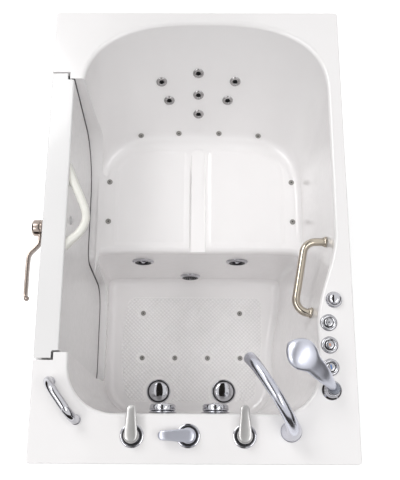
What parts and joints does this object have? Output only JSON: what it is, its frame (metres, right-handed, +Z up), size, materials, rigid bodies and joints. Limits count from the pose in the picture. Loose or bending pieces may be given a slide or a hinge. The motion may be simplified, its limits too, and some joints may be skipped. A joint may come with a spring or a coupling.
{
  "type": "walk-in bathtub",
  "caption": "Walk-in bathtub with an outward-swing L-shaped door, a moulded seat, a foot well, deck valves, a curved spout, a hand shower, grab bars and jets.",
  "frame": {"origin": "centre of the footprint, lever included, at room floor level", "axes": "+Y along the tub from the foot end to the head end, +X towards the wall side away from the door, +Z up"},
  "size_m": [0.9727, 1.41, 1.1392],
  "materials": {
    "acrylic": "white gloss acrylic",
    "door_skin": "white gloss moulding",
    "handle_white": "white moulded plastic",
    "cap_pale": "pale plastic",
    "seal_rubber": "dark grey sealing rubber",
    "chrome": "polished chrome plate",
    "nickel": "warm brushed nickel",
    "stainless": "brushed stainless steel",
    "latch_steel": "zinc-plated steel",
    "brass": "cast and drawn brass",
    "pvc": "white pipe plastic",
    "jet_grey": "dark grey plastic",
    "motor": "dark enamel",
    "box_grey": "light grey plastic",
    "foot_rubber": "black rubber pads on steel studs",
    "panel": "white gloss panel"
  },
  "bodies": {
    "tub": {"tub_shell": "acrylic", "tub_hinge_leaves": "stainless", "hinge_pins": "stainless", "latch_keepers": "latch_steel", "wall_grab_bar": "nickel", "wall_bar_flanges": "nickel", "deck_grab_bar": "chrome", "spout": "chrome", "valve_flanges": "chrome", "valve_bodies": "brass", "shower_holder": "chrome", "mixer_pipes": "brass", "overflow_plates": "chrome", "drain_flanges": "chrome", "waste_pipes": "pvc", "button_bezels": "chrome", "back_jets": "chrome", "foot_jet_bezels": "chrome", "suction_cover": "chrome", "air_jets": "chrome", "water_pump": "motor", "jet_pipes": "pvc", "air_blower": "motor", "air_pipes": "pvc", "control_box": "box_grey", "side_rails": "stainless", "cross_rails": "stainless", "uprights": "stainless", "top_rails": "stainless", "levelling_feet": "foot_rubber", "front_skirt": "panel", "access_panel": "panel", "end_panels": "panel", "panel_screws": "stainless"},
    "door": {"door_outer_panel": "door_skin", "door_inner_panel": "door_skin", "door_stiffener": "latch_steel", "door_seal": "seal_rubber", "door_grab_handle": "handle_white", "door_cap": "cap_pale", "door_hinge_leaves": "stainless", "hinge_screws": "stainless", "lever_boss": "nickel"},
    "lever": {"door_lever": "nickel", "lever_spindle": "latch_steel"},
    "latch": {"latch_slide": "latch_steel"},
    "hot_lever": {"hot_lever": "chrome"},
    "cold_lever": {"cold_lever": "chrome"},
    "diverter_lever": {"diverter_lever": "chrome"},
    "hand_shower": {"hand_shower": "chrome"},
    "overflow_knob_left": {"overflow_knob_left": "chrome"},
    "overflow_knob_right": {"overflow_knob_right": "chrome"},
    "stopper_left": {"drain_stopper_left": "chrome"},
    "stopper_right": {"drain_stopper_right": "chrome"},
    "air_knob": {"air_knob": "chrome"},
    "blower_button": {"blower_button": "chrome"},
    "pump_button": {"pump_button": "chrome"},
    "heater_button": {"heater_button": "chrome"},
    "foot_jet_left": {"foot_jet_left": "jet_grey"},
    "foot_jet_right": {"foot_jet_right": "jet_grey"}
  },
  "joints": [
    {"name": "door_swing", "type": "hinge", "parent": "tub", "child": "door", "pos_m": [-0.4357, -0.446, 0.55], "axis": [0, 0, 1], "range_deg": [0, 110]},
    {"name": "lever_turn", "type": "hinge", "parent": "door", "child": "lever", "pos_m": [-0.4282, -0.009, 0.885], "axis": [1, 0, 0], "range_deg": [0, 90]},
    {"name": "latch_slide", "type": "slide", "parent": "door", "child": "latch", "axis": [0, -1, 0], "range_m": [0, 0.018]},
    {"name": "hot_lever_turn", "type": "hinge", "parent": "tub", "child": "hot_lever", "pos_m": [-0.142, -0.63, 0.965], "axis": [0, 0, 1], "range_deg": [0, 90]},
    {"name": "cold_lever_turn", "type": "hinge", "parent": "tub", "child": "cold_lever", "pos_m": [0.168, -0.63, 0.965], "axis": [0, 0, 1], "range_deg": [-90, 0]},
    {"name": "diverter_turn", "type": "hinge", "parent": "tub", "child": "diverter_lever", "pos_m": [0.013, -0.63, 0.965], "axis": [0, 0, 1], "range_deg": [-90, 0]},
    {"name": "hand_shower_lift", "type": "slide", "parent": "tub", "child": "hand_shower", "axis": [0, 0, 1], "range_m": [0, 0.09]},
    {"name": "overflow_left_turn", "type": "hinge", "parent": "tub", "child": "overflow_knob_left", "pos_m": [-0.061, -0.56149, 0.918], "axis": [0, 1, 0], "range_deg": [0, 75]},
    {"name": "overflow_right_turn", "type": "hinge", "parent": "tub", "child": "overflow_knob_right", "pos_m": [0.089, -0.56149, 0.918], "axis": [0, 1, 0], "range_deg": [0, 75]},
    {"name": "stopper_left_lift", "type": "slide", "parent": "tub", "child": "stopper_left", "axis": [0, 0, 1], "range_m": [0, 0.01]},
    {"name": "stopper_right_lift", "type": "slide", "parent": "tub", "child": "stopper_right", "axis": [0, 0, 1], "range_m": [0, 0.01]},
    {"name": "air_knob_turn", "type": "hinge", "parent": "tub", "child": "air_knob", "pos_m": [0.4302, -0.248, 0.965], "axis": [0, 0, 1], "range_deg": [0, 270]},
    {"name": "blower_button_press", "type": "slide", "parent": "tub", "child": "blower_button", "axis": [0, 0, -1], "range_m": [0, 0.003], "stiffness_N_per_m": 1000, "springref_m": -0.003},
    {"name": "pump_button_press", "type": "slide", "parent": "tub", "child": "pump_button", "axis": [0, 0, -1], "range_m": [0, 0.003], "stiffness_N_per_m": 1000, "springref_m": -0.003},
    {"name": "heater_button_press", "type": "slide", "parent": "tub", "child": "heater_button", "axis": [0, 0, -1], "range_m": [0, 0.003], "stiffness_N_per_m": 1000, "springref_m": -0.003},
    {"name": "foot_jet_left_turn", "type": "hinge", "parent": "tub", "child": "foot_jet_left", "pos_m": [-0.17, 0.012, 0.412], "axis": [0, 1, 0], "range_deg": [-75, 75]},
    {"name": "foot_jet_right_turn", "type": "hinge", "parent": "tub", "child": "foot_jet_right", "pos_m": [0.178, 0.012, 0.412], "axis": [0, 1, 0], "range_deg": [-75, 75]}
  ],
  "couplings": [
    {"joint": "latch_slide", "follows": "lever_turn", "m_per_rad": 0.011459},
    {"joint": "stopper_left_lift", "follows": "overflow_left_turn", "m_per_rad": 0.007639},
    {"joint": "stopper_right_lift", "follows": "overflow_right_turn", "m_per_rad": 0.007639}
  ]
}
